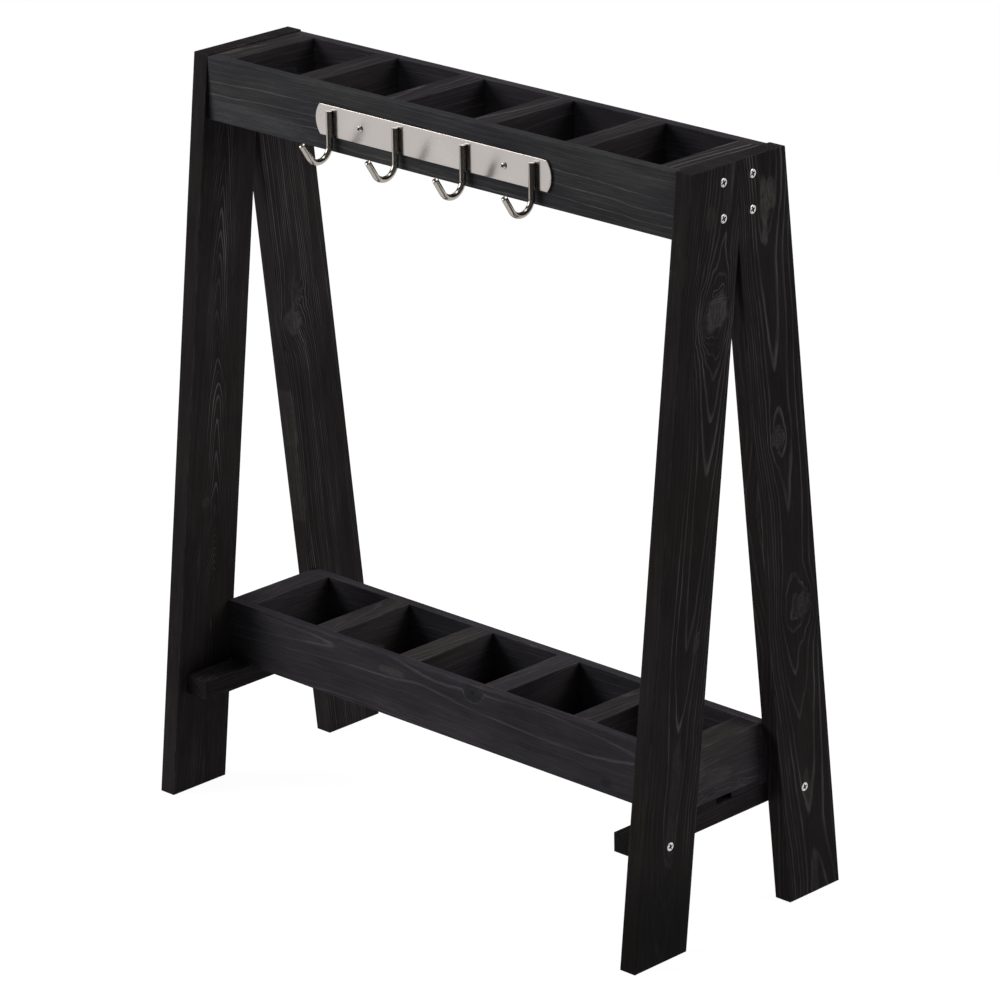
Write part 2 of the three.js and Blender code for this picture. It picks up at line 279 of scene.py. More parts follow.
def stainedPine(name, look):
    material, tree, shader = newMaterial(name)
    ground, tint, late, pale, olive = map(toLinear, look["colours"])
    ring, pace, tone, show, toneAndPaintedLight, arris, odd = (
        addNode(tree, "Attribute", attribute_name=key).outputs["Fac"]
        for key in ("ring", "pace", "tone", "show", "toneAndPaintedLight", "arris", "odd"))
    along = addNode(tree, "Attribute", attribute_name="board").outputs["Vector"]
    pattern = {key: noise(tree, along, *make) for key, make in pineNoise.items()}
    pattern.update({key: spread(tree, pattern[key], *make) for key, make in pineSpread.items()})

    # the rings waver a little; "pace" is how steeply the face cuts them, and where it cuts them flat the
    # waver is less and the lines are a smaller share of the year
    waver = times(tree, maths(tree, "SUBTRACT", pattern["waver"], 0.5), pace, yearMake["waver"])
    shifted = maths(tree, "ADD", ring, waver)
    share = maths(tree, "FRACT", shifted)
    year = maths(tree, "FLOOR", shifted)

    # the late wood comes in softly through the year and ends at a crisp edge; each year's line has its own
    # width and strength, and lines fade in and out along the board
    width, strength = (
        addNode(tree, "TexWhiteNoise", {"W": seed}, noise_dimensions="1D").outputs["Value"]
        for seed in (maths(tree, "ADD", year, 0.37), year))
    least, most = (look["lineShare"] * yearMake[key] for key in ("narrow", "wide"))
    reach = times(tree, spread(tree, width, 0, 1, least, most), maths(tree, "POWER", pace, yearMake["flat"]))
    begin, end = maths(tree, "SUBTRACT", yearMake["end"], reach), yearMake["end"]
    rise = spread(tree, share, begin, end, 0, 1, "SMOOTHERSTEP")
    fall = spread(tree, share, yearMake["fall"], 1.0, 1.0, 0.0, "SMOOTHSTEP")
    strong = spread(tree, maths(tree, "POWER", strength, look["yearPower"]), 0, 1, yearMake["faint"], 1.0)
    line = times(tree, rise, fall, strong, pattern["fade"], show)

    wood = mix(tree, line, mix(tree, pattern["tint"], ground, tint), late)
    # knots and flat-cut tongues, mottled
    paleShare = times(tree, maths(tree, "MAXIMUM", tone, 0.0), pattern["mottle"])
    wood = mix(tree, paleShare, wood, mix(tree, odd, pale, olive))
    # the thin stain on the eased arrises is worn a little, unevenly
    wood = mix(tree, times(tree, arris, pattern["wear"]), wood, pale)

    # fibres, streaks, patches, dark knots and the piece's own tone with its painted light and shade scale
    # the colour
    depth, middle, rough = look["fibre"], (0.3, 0.7), look["roughness"]
    scale = times(
        tree, spread(tree, pattern["fibre"], *middle, 1 - stain["fibreDark"] * depth, 1 + depth),
        spread(tree, pattern["streak"], *middle, 1 - stain["streakDark"] * depth, 1 + depth),
        pattern["patch"], spread(tree, tone, -1.0, 0.0, stain["darkKnot"], 1.0), toneAndPaintedLight)
    grey = addNode(tree, "CombineColor", {0: scale, 1: scale, 2: scale}).outputs[0]

    # the late wood stands a little proud, and the fibres are felt
    relief = addNode(tree, "Bump", {
        "Height": maths(tree, "MULTIPLY_ADD", pattern["fibre"], stain["fibreHeight"], line),
        "Distance": stain["proud"], "Strength": stain["relief"]}).outputs[0]
    fill(tree, shader, {
        "Base Color": mix(tree, 1.0, wood, grey, "MULTIPLY"),
        "Roughness": spread(tree, line, 0, 1, rough, rough - stain["lateShine"]),
        "Normal": relief, "IOR": stain["ior"], "Specular IOR Level": stain["specular"]})
    return material


pine = {kind: stainedPine("black_stained_pine_" + kind, look) for kind, look in pineLook.items()}
print("stained pine ready")

# how a board grew
# Every board is a slice of a trunk. u runs along it, v across its width and w through its thickness, in mm.
# side: -1 where the wide face that shows is the one towards -X, -Y or -Z
# seed: of its slow waves; spacing: of the rings
# pith: the trunk's centre line, (u, v, depth behind the face that shows), with corners rounded over "blur"
# sway, uneven: how much the slow waves bend the rings, and how much the rings' widths vary
# lean: packs the rings closer on the side where v grows; sharp: (slope, bow) of rings cut to chevrons
# firstYear: with which year the rings begin, which decides how strong each line is
# knots: (u, v, radius, stretch along the board, lift of the rings round it, tone); a negative lift
#   spreads the rings round the knot, and a negative tone is dark
# patches: (u, v, half length, half width, tone, share of olive), such as flat-cut tongues
# calms: (u, v, half length, half width, share of the lines that shows there)
# toneAndPaintedLight, paintedLightAndStainAlong: the board's factor on the colour, and (u, half length,
# factor) along it; both hold its tone and painted light and shade
# edgeShow, edgePaintedLight: the narrow faces' share of the lines, and their factor of painted light and
# shade; edgeSpare spares them the factors along the board
growMake = {
    "along": (8, [120, 16, 60]),  # slow waves along the board: height and wavelengths in mm
    "across": [(0.9, [150, 26, 60]), (0.45, [42, 9, 30]), (0.22, [16, 5, 20])],
    "pith": (1.2, [170]),
    "years": [(0.22, [3.1]), (0.45, [8.3])],  # wide and narrow years: height and period in years
    "leanOver": 12, "tip": 1.5,
    # a knot's bell curve and the waves round it, in radii and in shares of its lift; its own rings
    "knot": {"bell": 1.6, "waveBell": 2.6, "waveShare": 0.10, "uneven": 0.16, "own": 0.9},
    "knotWaves": [26, 14, 40],
}
# a mark's outline, in its own half sizes: where it fades, how uneven it is, its waves in mm and their seed
markMake = {
    "knots": {"fade": (1.15, 0.85), "uneven": 0.24, "waves": [18, 11, 40], "seed": 1007},
    "patches": {"fade": (1.1, 0.88), "uneven": 0.18, "waves": [60, 14, 60], "seed": 1003},
    "calms": {"fade": (1.3, 0.7), "uneven": 0.15, "waves": [80, 20, 60], "seed": 1013},
}


def growRings(u, v, w, grain):
    # the ring number is the distance from the pith over the ring spacing; slow waves shift the place at
    # which it is read; a knot lifts the rings round it by a bell curve and has fine rings of its own inside
    def wave(points, shift, height, lengths):
        return height * ripple(points, grain["seed"] + shift, lengths)

    sway, blur = grain.get("sway", 1.0), grain.get("blur", 14)
    pith = np.array(grain["pith"], float)
    place = np.stack([u, v, w], axis=1)
    readU = u + sway * wave(place, 1, *growMake["along"])
    readV = v + sway * sum(wave(place, 2 + i, *make) for i, make in enumerate(growMake["across"]))
    offset = readV - softTable(pith[:, 0], pith[:, 1], u, blur)
    offset -= sway * wave(u[:, None], 0, *growMake["pith"])
    depth = softTable(pith[:, 0], pith[:, 2], readU, blur)
    offset = offset * (1 + grain.get("lean", 0.0) * np.tanh(offset / growMake["leanOver"]))
    behind = w - grain["face"] + np.sign(grain["face"]) * depth
    distance = np.hypot(offset, behind)
    if "sharp" in grain:
        # near the pith the rings are cut to chevrons: a pointed tip, and arms that soon run parallel
        slope, bow = grain["sharp"]
        tip = growMake["tip"]
        distance = np.abs(behind) + np.hypot(offset, bow) - bow + slope * (np.hypot(offset, tip) - tip)
    knot, outline = growMake["knot"], markMake["knots"]
    for ku, kv, radius, stretch, lift, _ in grain.get("knots", []):
        near = np.hypot((u - ku) / stretch, v - kv)
        near += knot["uneven"] * radius * ripple(place, int(ku) + outline["seed"], outline["waves"])
        waves = ripple(place, int(ku) + outline["seed"] + 4, growMake["knotWaves"])
        distance += lift * bell(near, knot["bell"] * radius)
        distance += knot["waveShare"] * abs(lift) * bell(near, knot["waveBell"] * radius) * waves
        distance += smoothStep(1.2, 0.8, near / radius) * near * knot["own"]
    ring = distance / grain["spacing"]
    years = sum(wave(ring[:, None], 5 + i, *make) for i, make in enumerate(growMake["years"]))
    return ring + grain.get("uneven", 1.0) * years + grain.get("firstYear", 0)


def inMark(place, kind, u, v, halfLength, halfWidth):
    # 1 inside an oval mark and 0 outside it
    make = markMake[kind]
    near = np.hypot((place[:, 0] - u) / halfLength, (place[:, 1] - v) / halfWidth)
    near += make["uneven"] * ripple(place, int(u) + make["seed"], make["waves"])
    return smoothStep(*make["fade"], near)


def growMarks(u, v, w, grain):
    # how pale or dark the knots and the flat-cut tongues are, how olive the tongues are, and how much
    # of the lines shows
    place = np.stack([u, v, w], axis=1)
    tone, odd, show = np.zeros_like(u), np.zeros_like(u), np.ones_like(u)
    for ku, kv, radius, stretch, _, dye in grain.get("knots", []):
        tone += dye * inMark(place, "knots", ku, kv, stretch * radius, radius)
    for *oval, dye, olive in grain.get("patches", []):
        inside = inMark(place, "patches", *oval)
        tone += dye * inside
        odd = np.maximum(odd, olive * inside)
    for *oval, share in grain.get("calms", []):
        show *= 1 + (share - 1) * inMark(place, "calms", *oval)
    return np.clip(tone, -1, 1), odd, show


dressMake = {
    "reach": 0.6,  # mm between the two places that tell how steeply the rings are cut
    "pace": (0.03, 1.2),
    "edge": 0.2,  # mm from a wide face at which the narrow faces begin
    "edgePace": 0.9, "edgeTone": 0.7, "edgeShow": 0.35,
    "shadeFade": (1.5, 0.5),  # half lengths
    "arris": 1.25,
    "shift": (131.0, 17.0, 0),  # mm in the patterns from one seed's board to the next
}


def dressBoard(mesh, u, v, w, gaps, halfThick, grain):
    # the board's own coordinates, its rings and knots, and how near each point lies to an arris; its
    # narrow faces and ends show the rings less
    make, arris = dressMake, boardMake["arris"]
    ring = growRings(u, v, w, grain)
    tone, odd, show = growMarks(u, v, w, grain)
    reach = make["reach"]
    steps = [growRings(u + reach, v, w, grain) - ring, growRings(u, v + reach, w, grain) - ring]
    pace = np.clip(np.hypot(*steps) / reach * grain["spacing"], *make["pace"])
    gaps = np.sort(np.maximum(gaps, 0), axis=1)
    edge = smoothStep(halfThick - make["edge"], halfThick - arris, np.abs(w))
    # the board's own tone with painted light and shade, along it and on its narrow faces
    toneAndPaintedLight = np.full(len(u), grain.get("toneAndPaintedLight", 1.0))
    for su, halfLength, share in grain.get("paintedLightAndStainAlong", []):
        here = smoothStep(*make["shadeFade"], np.abs(u - su) / halfLength)
        toneAndPaintedLight *= 1 + (share - 1) * here * (1 - grain.get("edgeSpare", 0) * edge)
    values = {
        "ring": ring,
        "pace": pace * (1 - edge) + make["edgePace"] * edge,
        "odd": odd,
        "tone": tone * (1 - make["edgeTone"] * edge),
        "show": show * (1 - (1 - grain.get("edgeShow", make["edgeShow"])) * edge),
        "toneAndPaintedLight": toneAndPaintedLight * (1 + (grain.get("edgePaintedLight", 1.0) - 1) * edge),
        "arris": np.clip(make["arris"] - gaps[:, 1] / arris, 0, 1),
    }
    for name, numbers in values.items():
        setAttribute(mesh, name, "FLOAT", numbers)
    shift = grain["seed"] * np.array(make["shift"])
    setAttribute(mesh, "board", "FLOAT_VECTOR", np.stack([u, v, w], axis=1) + shift)


# boards
boardMake = {
    "step": 2.4,  # mm between the stations
    "arris": 0.4, "arrisPoints": 4,
    "capRings": 7,
    "wear": 0.22,  # how unevenly the arrises are eased, as a share of their radius
    "wearWaves": [70, 30],  # mm along the board, and round it at "wearRound" mm to the radian
    "wearRound": 12,
}


def sectionLoop(width, thickness, step, cornerPoints):
    # a rectangle's outline: where on its flat core each point lies, from -1 to 1, and the outward
    # direction in which the corner radius is added
    countA = max(2, round(width / step))
    countB = max(2, round(thickness / step))
    turn = np.linspace(0, 90, cornerPoints + 2)[1:-1]
    sides = [((-1, 1), (1, 1), 90, countA), ((1, 1), (1, -1), 0, countB),
             ((1, -1), (-1, -1), -90, countA), ((-1, -1), (-1, 1), -180, countB)]
    core, out = [], []
    for begin, finish, angle, count in sides:
        t = np.linspace(0, 1, count + 1)[:, None]
        core.append((1 - t) * np.array(begin) + t * np.array(finish))
        out.append(np.tile(np.radians(angle), count + 1))
        core.append(np.tile(np.array(finish, float), (cornerPoints, 1)))
        out.append(np.radians(angle - turn))
    core = np.concatenate(core)
    out = np.concatenate(out)
    return core, np.stack([np.cos(out), np.sin(out)], axis=1)


def boardLoops(start, end, section, seed, knee=None):
    # the section is carried along the board: cap rings grow from the middle of the end, a quarter
    # circle rounds the end's arrises, then straight stations follow to the same at the other end.
    # section gives its centre and its half sizes at each place along the board.
    make = boardMake
    radius, points = make["arris"], make["arrisPoints"]
    grow = np.linspace(0, 1, make["capRings"] + 1)
    quarter = np.radians(np.linspace(0, 90, points + 2)[1:])
    length = end - start
    body = np.linspace(start + radius, end - radius, max(2, round(length / make["step"])) + 1)[1:-1]
    if knee is not None:
        body[np.argmin(np.abs(body - knee))] = knee
    place = np.concatenate([
        np.full(len(grow), start), start + radius * (1 - np.cos(quarter)), body,
        end - radius * (1 - np.cos(quarter[::-1])), np.full(len(grow), end)])
    scale = np.concatenate([grow, np.ones(len(quarter) * 2 + len(body)), grow[::-1]])
    flat = np.zeros(len(grow))
    round_ = np.concatenate([flat, np.sin(quarter), np.ones(len(body)), np.sin(quarter[::-1]), flat])
    midA, midB, halfA, halfB = section(place)
    core, out = sectionLoop(2 * halfA.max(), 2 * halfB.max(), make["step"], points)
    angle = np.arctan2(out[:, 1], out[:, 0])
    spot = np.stack(np.meshgrid(place, angle * make["wearRound"], indexing="ij"), axis=-1).reshape(-1, 2)
    worn = radius * (1 + make["wear"] * ripple(spot, seed + 9, make["wearWaves"]).reshape(len(place), -1))
    scale, round_ = scale[:, None], round_[:, None]
    a = midA[:, None] + core[:, 0] * scale * (halfA[:, None] - worn) + out[:, 0] * worn * round_
    b = midB[:, None] + core[:, 1] * scale * (halfB[:, None] - worn) + out[:, 1] * worn * round_
    return np.stack([a, b, np.broadcast_to(place[:, None], a.shape)], axis=-1)


# The wood screws' places are read from the CAD nodes.
screwMake = {  # mm; play: between a screw and its hole
    "frame": {"head": 10.5, "headHeight": 3.2, "shank": 5.0, "play": 0.3},
    "floor": {"head": 8.0, "headHeight": 2.6, "shank": 4.0, "play": 0.3},
}
# the cutter of a hole in mm: how far it stands out, its straight rim, the drill's point; a screw that
# enters a board by less than "touch" doesn't pass through it
holeMake = {"facets": 32, "above": 2, "rim": 0.4, "point": 3, "touch": 0.2}


def screwPlaces():
    places = []
    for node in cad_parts:
        low, high = (np.array(corner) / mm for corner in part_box(node))
        middle = (low + high) / 2
        if node.startswith(("top_screw", "batten_screw")):
            side = np.sign(middle[0])
            top = high[0] if side > 0 else low[0]
            places.append((node, "frame", np.array([top, middle[1], middle[2]]), 0, side, high[0] - low[0]))
        elif node.startswith("floor_screw"):
            places.append((node, "floor", np.array([middle[0], middle[1], low[2]]), 2, -1, high[2] - low[2]))
    return places


def turnedLoops(profile, origin, axis, side, facets):
    # a profile of (radius, depth) pairs turned about a line through the origin along one axis
    radius, depth = np.array(profile, float).T
    angle = np.linspace(0, 2 * np.pi, facets, endpoint=False)
    loops = np.zeros((len(radius), facets, 3))
    for i, wave in zip(othersThan(axis), (np.cos(angle), np.sin(angle))):
        loops[..., i] = origin[i] + radius[:, None] * wave
    loops[..., axis] = origin[axis] - side * depth[:, None]
    return loops


def cutScrewHoles(piece, low, high):
    # countersunk holes for the screws that pass through this board, whose box is given in mm
    joined = bmesh.new()
    for _, kind, top, axis, side, length in screwPlaces():
        make, play, touch = screwMake[kind], screwMake[kind]["play"], holeMake["touch"]
        ends = sorted([top[axis], top[axis] - side * length])
        crosses = all(low[i] < top[i] < high[i] for i in othersThan(axis))
        if not crosses or ends[1] < low[axis] + touch or ends[0] > high[axis] - touch:
            continue
        rim, shank = make["head"] / 2 + play, make["shank"] / 2 + play
        profile = [(0, -holeMake["above"]), (rim, -holeMake["above"]), (rim, holeMake["rim"] + play),
                   (shank, make["headHeight"] + play), (shank, length - holeMake["point"]),
                   (0, length + play)]
        loops = turnedLoops(profile, top, axis, side, holeMake["facets"])
        joined.from_mesh(meshFromLoops("hole", loops * mm))
    cutterMesh = bpy.data.meshes.new("holes")
    joined.to_mesh(cutterMesh)
    joined.free()
    if not len(cutterMesh.vertices):
        return
    cutter = linkPiece("holes", cutterMesh)
    cut = piece.modifiers.new("holes", "BOOLEAN")
    cut.object = cutter
    cut.operation = "DIFFERENCE"
    cut.solver = "EXACT"
    bpy.context.view_layer.update()
    result = bpy.data.meshes.new_from_object(piece.evaluated_get(bpy.context.evaluated_depsgraph_get()))
    piece.modifiers.remove(cut)
    piece.data = result
    bpy.data.objects.remove(cutter)


def makeBoard(node, axis, kind, grain):
    # a straight board that fills its CAD node's box; v is the wider of the two cross directions
    low, high = (np.array(corner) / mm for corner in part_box(node))
    half = (high - low) / 2
    thin, wide = sorted(othersThan(axis), key=lambda i: half[i])
    middle = (low + high) / 2
    sizes = middle[wide], middle[thin], half[wide], half[thin]
    loops = boardLoops(low[axis], high[axis], lambda s: [np.full(len(s), n) for n in sizes], grain["seed"])
    points = np.empty_like(loops)
    points[..., [wide, thin, axis]] = loops
    piece = linkPiece("timber_" + node, meshFromLoops(node, points * mm))
    cutScrewHoles(piece, low, high)
    place = pointsOf(piece.data) / mm - middle
    u, v, w = place[:, [axis, wide, thin]].T
    face = grain.get("side", 1) * half[thin]
    dressBoard(piece.data, u, v, w, half - np.abs(place), half[thin], dict(grain, face=face))
    standIn(piece, node, pine[kind])


# legs
legMake = {
    "width": 80.0, "thickness": 21.0, "height": 850.0,
    "topHalf": 71.0, "footHalf": 164.0,  # from the rack's middle to the outer edge, at the top and foot
    "seam": 0.15,  # half the seam where a pair of legs meets
}
legSlope = (legMake["footHalf"] - legMake["topHalf"]) / legMake["height"]
legTilt = math.hypot(1, legSlope)


def legEdges(height):
    # a leg's outer and inner edge at a height: splayed, and plumb where the pair meets
    outer = legMake["topHalf"] + (legMake["height"] - height) * legSlope
    inner = np.maximum(outer - legMake["width"] * legTilt, legMake["seam"])
    return outer, inner


def makeLeg(node, grain):
    # u runs up the splay and v from the outer edge inwards
    side, half = -1 if "front" in node else 1, legMake["thickness"] / 2
    low, high = (np.array(corner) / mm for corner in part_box(node))
    middleX = (low[0] + high[0]) / 2
    knee = legMake["height"] - (legMake["width"] * legTilt + legMake["seam"] - legMake["topHalf"]) / legSlope

    def section(z):
        outer, inner = legEdges(z)
        flat = np.ones(len(z))
        return side * (outer + inner) / 2, middleX * flat, (outer - inner) / 2, half * flat

    loops = boardLoops(0.0, legMake["height"], section, grain["seed"], knee)
    piece = linkPiece("timber_" + node, meshFromLoops(node, loops[..., [1, 0, 2]] * mm))
    cutScrewHoles(piece, low, high)
    place = pointsOf(piece.data) / mm
    y, z = side * place[:, 1], place[:, 2]
    u = (z - legSlope * (y - legMake["footHalf"])) / legTilt
    v = (legMake["footHalf"] - y - legSlope * z) / legTilt
    w = place[:, 0] - middleX
    outer, inner = legEdges(z)
    gaps = np.stack([(outer - y) / legTilt, y - inner, half - np.abs(w), z, legMake["height"] - z], axis=1)
    dressBoard(piece.data, u, v, w, gaps, half, dict(grain, face=half))
    standIn(piece, node, pine["legs"])


# each leg's factors on its colour are partly its own tone and partly painted light and shade: the left legs
# are painted lighter where the lamps light them less, the front left foot lighter in the box's shadow, and
# the narrow faces lighter or darker for how the light falls on them
legGrain = {
    "leg_front_right": {
        "seed": 11, "spacing": 3.2, "sway": 0.9, "lean": 0.15, "uneven": 0.15, "firstYear": 67,
        "pith": [(0, 40, 45), (60, 40, 42), (105, 41, 38.2), (160, 42, 36.2), (270, 43, 35.0),
                 (341, 45, 31.8), (430, 50, 30.5), (541, 56, 28.6), (593, 57, 25.4), (650, 57, 22.2),
                 (705, 52, 20.5), (760, 58, 19.5), (850, 64, 19)],
        "knots": [(706, 55, 16, 1.15, -12, 0.55), (694, 41, 6, 1.2, -4, 0.15), (352, 60, 4, 3.0, 1, 0.3)],
        "calms": [(425, -2, 600, 24, 0.25), (60, 30, 90, 60, 0.25), (560, 10, 160, 22, 0.6),
                  (420, 60, 120, 22, 0.6), (830, 34, 50, 40, 0.6)],
        "patches": [(188, 42, 66, 9, 0.26, 0.1), (806, 34, 14, 8, 0.22, 0.8), (835, 60, 30, 6, 0.25, 0.3)],
        "paintedLightAndStainAlong": [(-10, 90, 0.50), (110, 110, 0.88), (790, 160, 1.08)],
        "toneAndPaintedLight": 0.96, "edgePaintedLight": 1.52,
    },
    "leg_back_right": {
        "seed": 23, "spacing": 3.6, "sway": 0.9, "lean": 0.25, "uneven": 0.15, "firstYear": 234,
        "pith": [(0, 36, 44.6), (50, 36, 46.6), (78, 37, 47.3), (105, 39, 46.6), (160, 41, 44.6),
                 (227, 44, 43.0), (280, 47, 39.4), (345, 44, 37.8), (468, 34, 35.8), (545, 42, 34),
                 (623, 41, 32.2), (764, 41, 28.6), (850, 37, 22)],
        "knots": [(545, 44, 8, 1.5, -5, 0.38), (345, 26, 12, 1.1, -9, 0.32)],
        "patches": [(806, 37, 26, 8, 0.72, 0.45), (776, 39, 17, 4, 0.72, 0.45), (812, 26, 17, 8, 0.62, 0.45),
                    (130, 39, 26, 4.5, 0.42, 0.5), (22, 36, 28, 5, 0.36, 0.2)],
        "calms": [(425, -2, 500, 10, 0.6), (805, 34, 44, 14, 0.3)],
        "paintedLightAndStainAlong": [(0, 60, 0.88), (730, 190, 1.12)],
        "toneAndPaintedLight": 0.88, "edgePaintedLight": 1.42,
    },
    "leg_front_left": {
        "seed": 31, "spacing": 2.3, "sway": 0.6, "uneven": 0.3, "sharp": (0.22, 12), "blur": 9,
        "pith": [(0, 45, 6), (250, 46, 10), (310, 46, 29), (460, 40, 38), (500, 38, 45), (560, 33, 50),
                 (640, 33, 56), (775, 33, 68), (850, 32, 73)],
        "knots": [(118, 32, 5, 1.4, -4, -0.6), (342, 30, 5, 1.3, -3, 0.2)],
        "calms": [(425, -4, 600, 28, 0.28), (425, 84, 600, 36, 0.28), (110, 40, 120, 40, 0.35),
                  (640, 34, 230, 11, 2.2), (285, 46, 34, 14, 0.8)],
        "paintedLightAndStainAlong": [(30, 110, 1.40), (600, 200, 1.06)],
        "toneAndPaintedLight": 1.32, "edgePaintedLight": 0.90,
    },
    "leg_back_left": {
        "seed": 47, "spacing": 2.2, "sway": 0.6, "uneven": 0.3,
        "pith": [(0, 100, 30), (300, 99, 28), (520, 96, 27), (620, 100, 28), (850, 100, 30)],
        "knots": [(526, 62, 13, 1.15, 9, 0.36), (556, 52, 8, 1.6, 5, 0.08)],
        "patches": [(410, 79, 32, 3, 0.75, 0.5), (355, 80, 28, 2.5, 0.6, 0.3), (305, 80, 24, 3, 0.7, 0.5)],
        "calms": [(425, -2, 600, 30, 0.6), (640, 50, 300, 60, 1.25), (520, 60, 70, 20, 1.3)],
        "paintedLightAndStainAlong": [(650, 130, 1.24), (450, 60, 0.95)],
        "toneAndPaintedLight": 1.22,
    },
}
for node, grain in legGrain.items():
    makeLeg(node, grain)
print("legs made")

longGrain = {
    "upper_front_board": {
        "side": -1, "seed": 5, "spacing": 6.8, "sway": 0.7, "uneven": 0.1, "firstYear": 6,
        "pith": [(-346, -84, 20), (-170, -78.5, 20), (0, -81, 20), (180, -85, 20), (346, -89, 20)],
        "patches": [(-184, -23, 12, 11, 0.10, 0.0), (-280, -23, 90, 12, 0.22, 0.0),
                    (-30, -30, 60, 6, 0.2, 0.9), (250, 20, 90, 10, 0.12, 0.2)],
        "calms": [(-290, -24, 130, 13, 0.1)], "toneAndPaintedLight": 1.19, "edgePaintedLight": 0.97,
    },
    # painted light and shade: the board is painted darker for the box's shade on its inner face, and its
    # narrow faces lighter for the light on its top
    "upper_back_board": {
        "side": -1, "seed": 6, "spacing": 5.5, "pith": [(-346, -60, 30), (346, -20, 26)],
        "calms": [(0, 0, 500, 80, 0.5)], "toneAndPaintedLight": 0.88, "edgePaintedLight": 1.42},
    "lower_front_board": {
        "side": -1, "seed": 7, "spacing": 6.0, "sway": 0.6, "blur": 16, "uneven": 0.1, "firstYear": 153,
        "pith": [(-346, 20, 27.3), (-285, 21, 27.9), (-173, 26, 29.7), (-120, 26, 31.5), (-85, 24, 32.8),
                 (-50, 23, 34.9), (-15, 19, 35.0), (40, 16, 34.5), (94, 17, 33.0), (150, 17.6, 31.4),
                 (232, 15, 33.2), (283, 16, 35.2), (310, 16, 36.2), (346, 16, 37)],
        "knots": [(42, 26, 10, 1.3, -1, -0.40), (42, 26, 2.5, 1.0, 0, -0.5), (240, -22, 5, 1.5, 3, -0.45)],
        "patches": [(-82, 19, 20, 5, 0.4, 0.9), (-250, 24, 70, 9, 0.12, 0.2), (60, -25, 200, 8, 0.12, 0.7)],
        "calms": [(0, 0, 500, 80, 0.72), (-300, 0, 110, 60, 0.35)],
        # painted shadow: the left end is darker where the front left leg shades it; the narrow faces are
        # spared most of it and painted lighter for the light on the top
        "paintedLightAndStainAlong": [(-341, 46, 0.52)], "edgeSpare": 0.9, "toneAndPaintedLight": 1.07, "edgePaintedLight": 1.18,
    },
    "lower_back_board": {
        "side": -1, "seed": 8, "spacing": 5.0, "pith": [(-346, -40, 20), (346, 10, 28)],
        # the ends are darker, partly with the stain that end grain takes and partly a painted shade next to
        # the legs; the narrow faces are painted lighter
        "calms": [(0, 0, 500, 80, 0.6)], "paintedLightAndStainAlong": [(-344, 2, 0.5), (344, 2, 0.5)],
        "toneAndPaintedLight": 1.08, "edgePaintedLight": 1.3},
    # painted shade: the floor slats are painted much darker, as they lie in the shade under the box
    "floor_slat_front": {
        "seed": 9, "spacing": 4.0, "toneAndPaintedLight": 0.34, "pith": [(-346, -50, 20), (346, -30, 28)]},
    "floor_slat_back": {
        "seed": 10, "spacing": 4.0, "toneAndPaintedLight": 0.48, "pith": [(-346, 10, 20), (346, 20, 28)]},
}
for node, grain in longGrain.items():
    makeBoard(node, 0, "upperFront" if node == "upper_front_board" else "longBoards", grain)
print("long boards made")

# the cross pieces' stock: where its pith may lie, and how much of its drift a board spans
crossMake = {
    "across": (-20, 25), "behind": (22, 44), "spacing": (3.4, 5.0), "toneAndPaintedLight": (0.97, 1.05), "span": 0.4,
    "firstSeed": 60,
}


def crossGrain(seed, toneAndPaintedLight):
    # the cross pieces are sawn from one kind of stock, each from another place in the trunk
    random = np.random.default_rng(seed)
    begin, finish = random.uniform(*crossMake["across"], 2)
    near, far = random.uniform(*crossMake["behind"], 2)
    stay, go = 1 - crossMake["span"], crossMake["span"]
    # the given painted light and shade times a little random tone of its own; the narrow faces are painted a
    # little lighter
    return {
        "seed": seed, "firstYear": seed, "spacing": random.uniform(*crossMake["spacing"]),
        "sway": 0.9, "calms": [(0, 0, 200, 200, 0.45)], "edgeShow": 2.2, "edgePaintedLight": 1.07,
        "toneAndPaintedLight": toneAndPaintedLight * random.uniform(*crossMake["toneAndPaintedLight"]),
        "pith": [(-60, begin, near), (60, begin * stay + finish * go, near * stay + far * go)]}


# painted light: the lower box's pieces are painted much lighter and the upper ones a little darker, for how
# the light falls into each box; some pieces are a little lighter or darker still
paintedLightByBox = {"upper": 0.94, "lower": 1.40}
crossShade = {
    "lower_divider_1": 1.06, "lower_divider_2": 0.93, "lower_divider_3": 1.06, "upper_divider_3": 0.94}
# the right end boards' factors are partly their tone and partly painted light and shade
rightEndGrain = {
    "upper_end_board_right": {
        "seed": 91, "spacing": 7.0, "sway": 0.7, "uneven": 0.1, "firstYear": 184,
        "pith": [(-60, 8, 58), (60, 12, 54)], "edgeShow": 4.5, "toneAndPaintedLight": 1.08},
    "lower_end_board_right": {
        "seed": 90, "spacing": 4.0, "firstYear": 14,
        "pith": [(-60, -38, 12), (0, -34, 9), (60, -36, 14)],
        "knots": [(-22, -23, 5, 1.8, -3, -0.35), (18, -25, 4, 1.6, -2, -0.2)],
        "patches": [(-44, 6, 16, 13, 0.14, 0.1), (-6, -6, 20, 9, 0.16, 0.9)],
        # painted shadow of the back right leg on the end's back part; the board is painted lighter, like the
        # lower box's other pieces
        "calms": [(0, 14, 200, 26, 0.4)], "paintedLightAndStainAlong": [(66, 24, 0.66)], "edgeShow": 1.2, "toneAndPaintedLight": 1.36},
}
crossNodes = [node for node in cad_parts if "_divider_" in node or "_end_board_" in node]
for index, node in enumerate(sorted(crossNodes)):
    if node not in rightEndGrain:
        toneAndPaintedLight = crossShade.get(node, 1.0) * paintedLightByBox[node.split("_")[0]]
        makeBoard(node, 1, "crossPieces", crossGrain(crossMake["firstSeed"] + index, toneAndPaintedLight))
for node, grain in rightEndGrain.items():
    makeBoard(node, 1, "crossPieces", grain)

